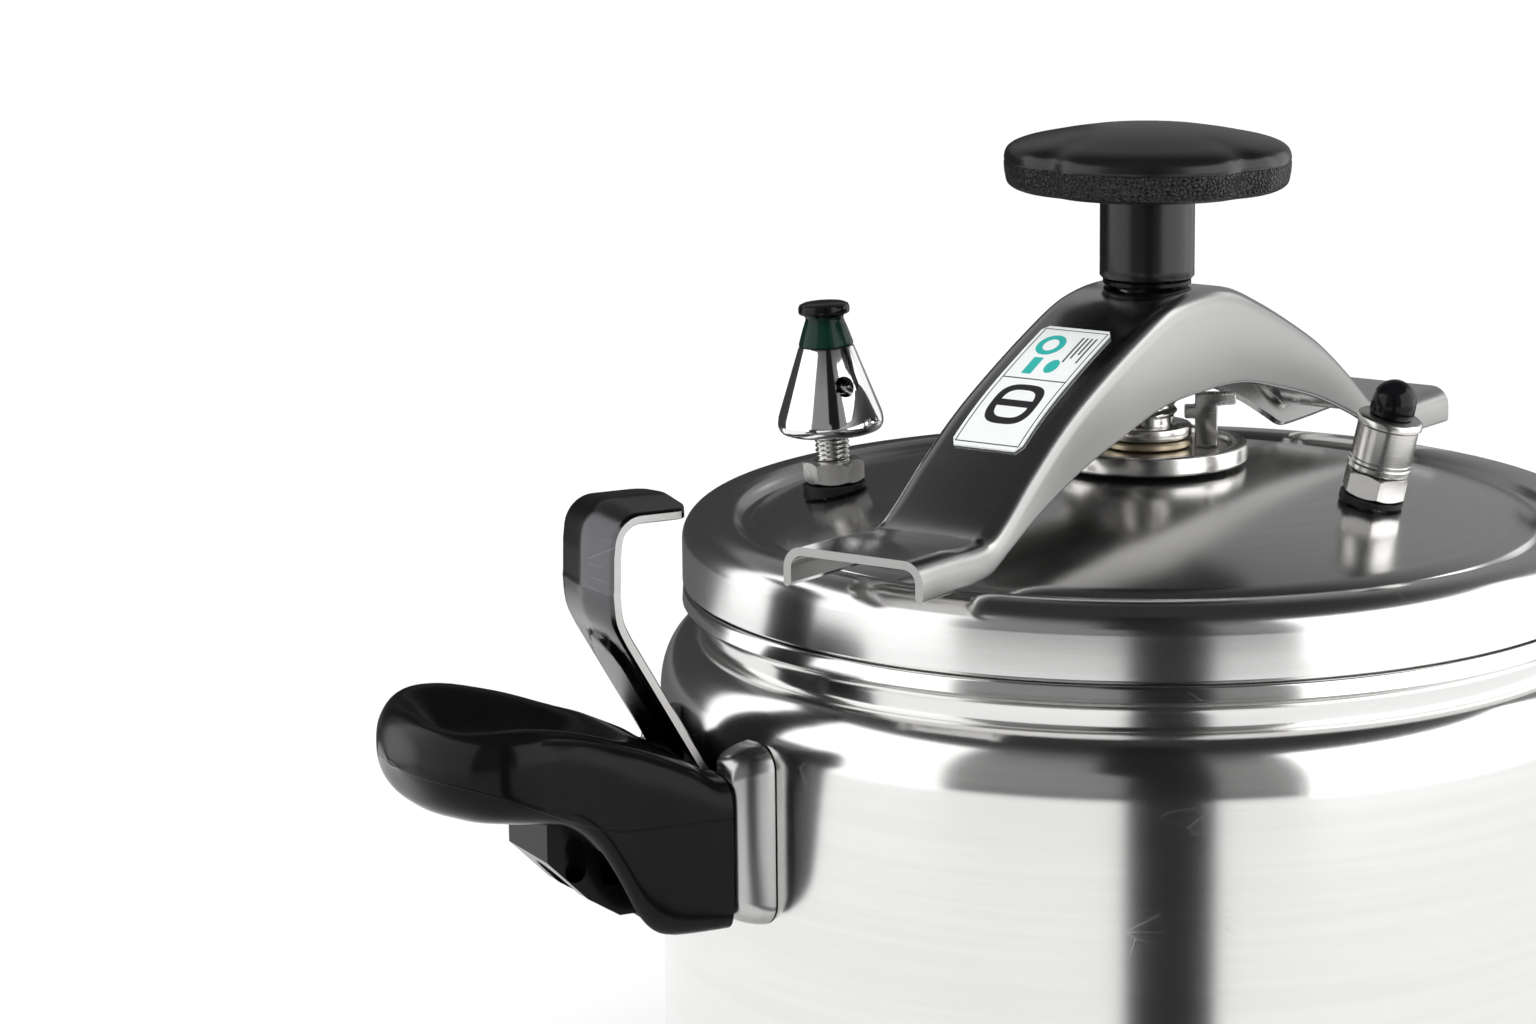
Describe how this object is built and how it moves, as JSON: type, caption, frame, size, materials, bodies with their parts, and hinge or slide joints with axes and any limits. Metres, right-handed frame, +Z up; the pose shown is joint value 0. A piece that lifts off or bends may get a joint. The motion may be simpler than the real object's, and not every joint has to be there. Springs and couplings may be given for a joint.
{
  "type": "stovetop pressure cooker",
  "caption": "Stovetop pressure cooker: steel pot, dished lid held by a screw yoke and side hooks, with a weighted vent, a relief valve and black side handles.",
  "frame": {"origin": "on the pot's axis at the underside of its base", "axes": "+Z up along the pot's axis, the two side handles along -X and +X"},
  "size_m": [0.4, 0.24, 0.2762],
  "materials": {
    "polished_steel": "bright polished stainless with a fine turned grain",
    "lid_steel": "satin turned stainless",
    "yoke_steel": "satin stainless sides and a mirror-polished top",
    "hook_steel": "mirror-polished stainless strap with sheared edges",
    "barrel_steel": "fine lengthways brushed stainless",
    "hardware_steel": "bright machined steel",
    "weight_chrome": "mirror chrome",
    "base_aluminium": "turned aluminium",
    "brass": "machined brass",
    "black_bakelite": "glossy black phenolic moulding",
    "cap_green": "dark green phenolic moulding",
    "black_rubber": "smooth black silicone rubber",
    "seal_rubber": "matt black sealing rubber",
    "label_paper": "satin printed sticker with plain marks"
  },
  "bodies": {
    "pot": {"pot_body": "polished_steel", "base_disc": "base_aluminium", "handle_bracket_left": "polished_steel", "handle_bracket_right": "polished_steel", "handle_left": "black_bakelite", "handle_right": "black_bakelite", "handle_screw_left": "hardware_steel", "handle_screw_right": "hardware_steel", "handle_nut_left": "hardware_steel", "handle_nut_right": "hardware_steel", "hook_pin_left": "hardware_steel", "hook_pin_right": "hardware_steel"},
    "lid": {"lid_shell": "lid_steel", "sealing_ring": "seal_rubber", "lid_hub": "hardware_steel", "keeper_a": "hardware_steel", "keeper_b": "hardware_steel", "vent_nipple": "hardware_steel", "vent_nut": "hardware_steel", "vent_washer": "seal_rubber", "vent_inner_nut": "hardware_steel", "vent_strainer": "hardware_steel", "relief_base": "hardware_steel", "relief_washer": "seal_rubber", "relief_inner_nut": "hardware_steel", "relief_barrel": "barrel_steel", "relief_spring": "hardware_steel"},
    "thrust": {"thrust_cup": "brass"},
    "yoke": {"yoke": "yoke_steel", "yoke_bush": "hardware_steel", "yoke_collar": "black_bakelite", "label": "label_paper"},
    "screw": {"screw_spindle": "hardware_steel", "knob": "black_bakelite", "knob_insert": "hardware_steel"},
    "hook_left": {"hook_left": "hook_steel"},
    "hook_right": {"hook_right": "hook_steel"},
    "weight": {"weight_body": "weight_chrome", "weight_cap": "cap_green"},
    "relief": {"relief_plunger": "brass", "relief_dome": "black_rubber"}
  },
  "joints": [
    {"name": "lid_lift", "type": "slide", "parent": "pot", "child": "lid", "axis": [0, 0, 1], "range_m": [0, 0.12]},
    {"name": "yoke_swivel", "type": "hinge", "parent": "lid", "child": "thrust", "pos_m": [0, 0, 0.192], "axis": [0, 0, 1], "range_deg": [-28.5, 55]},
    {"name": "knob_turn", "type": "hinge", "parent": "thrust", "child": "screw", "pos_m": [0, 0, 0.2], "axis": [0, 0, 1], "range_deg": [0, 120]},
    {"name": "yoke_travel", "type": "slide", "parent": "thrust", "child": "yoke", "axis": [0, 0, 1], "range_m": [-0.000667, 0]},
    {"name": "hook_left_tilt", "type": "hinge", "parent": "pot", "child": "hook_left", "pos_m": [-0.1298, 0, 0.1303], "axis": [0, 1, 0], "range_deg": [0, 7]},
    {"name": "hook_right_tilt", "type": "hinge", "parent": "pot", "child": "hook_right", "pos_m": [0.1298, 0, 0.1303], "axis": [0, -1, 0], "range_deg": [0, 7]},
    {"name": "weight_lift", "type": "slide", "parent": "lid", "child": "weight", "axis": [-0.0451, 0.0266, 0.9986], "range_m": [0, 0.02]},
    {"name": "relief_rise", "type": "slide", "parent": "lid", "child": "relief", "axis": [0.1209, -0.1897, 0.9744], "range_m": [0, 0.002], "stiffness_N_per_m": 800, "springref_m": -0.003, "deforming": ["relief_spring"]}
  ],
  "couplings": [
    {"joint": "yoke_travel", "follows": "knob_turn", "m_per_rad": -0.00031831}
  ]
}
